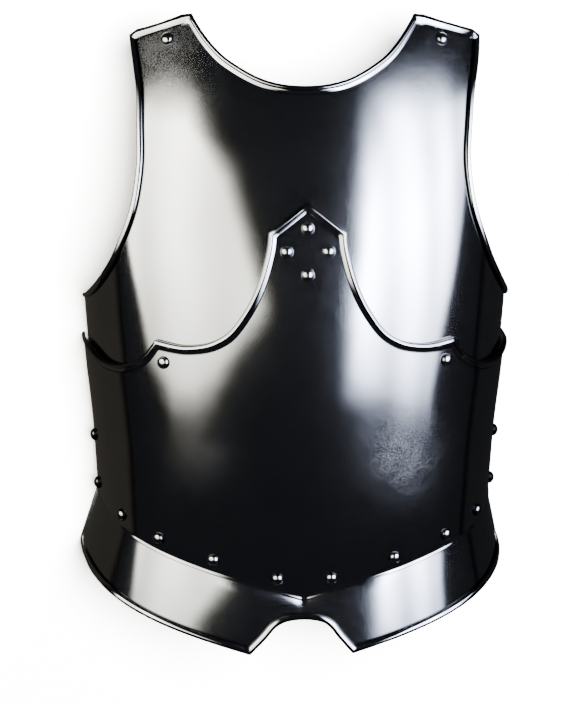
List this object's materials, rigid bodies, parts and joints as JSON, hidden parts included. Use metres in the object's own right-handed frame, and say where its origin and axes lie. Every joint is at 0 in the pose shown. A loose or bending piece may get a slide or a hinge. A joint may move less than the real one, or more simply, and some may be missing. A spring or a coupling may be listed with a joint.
{
  "type": "steel breastplate",
  "caption": "Plate-armour breastplate: riveted upper plate, pointed lower plate and flared skirt plate in polished dark steel, with rolled edges and an open back.",
  "frame": {"origin": "middle of the bounding box in plan, on the plane that the breastplate's cut side edges lie in", "axes": "+X to the right as seen from the front, +Y up toward the neck, +Z out of the chest, up from the surface it lies on"},
  "size_m": [0.401, 0.5632, 0.1664],
  "materials": {
    "breast_plate_steel": "mirror-polished, dark, with fine scratches",
    "plackart_steel": "mirror-polished, dark, with fine scratches",
    "fauld_steel": "mirror-polished, dark, with fine scratches",
    "rivet_steel": "polished steel, slightly darker"
  },
  "bodies": {
    "root": {"breast_plate": "breast_plate_steel", "plackart": "plackart_steel", "fauld_lame": "fauld_steel", "shoulder_rivet_left": "rivet_steel", "shoulder_rivet_right": "rivet_steel", "spire_rivet_top": "rivet_steel", "spire_rivet_left": "rivet_steel", "spire_rivet_right": "rivet_steel", "spire_rivet_bottom": "rivet_steel", "cusp_rivet_left": "rivet_steel", "cusp_rivet_right": "rivet_steel", "side_rivet_left": "rivet_steel", "side_rivet_right": "rivet_steel", "waist_rivet_1_left": "rivet_steel", "waist_rivet_1_right": "rivet_steel", "waist_rivet_2_left": "rivet_steel", "waist_rivet_2_right": "rivet_steel", "waist_rivet_3_left": "rivet_steel", "waist_rivet_3_right": "rivet_steel", "waist_rivet_4_left": "rivet_steel", "waist_rivet_4_right": "rivet_steel", "waist_rivet_5_left": "rivet_steel", "waist_rivet_5_right": "rivet_steel"}
  },
  "joints": []
}
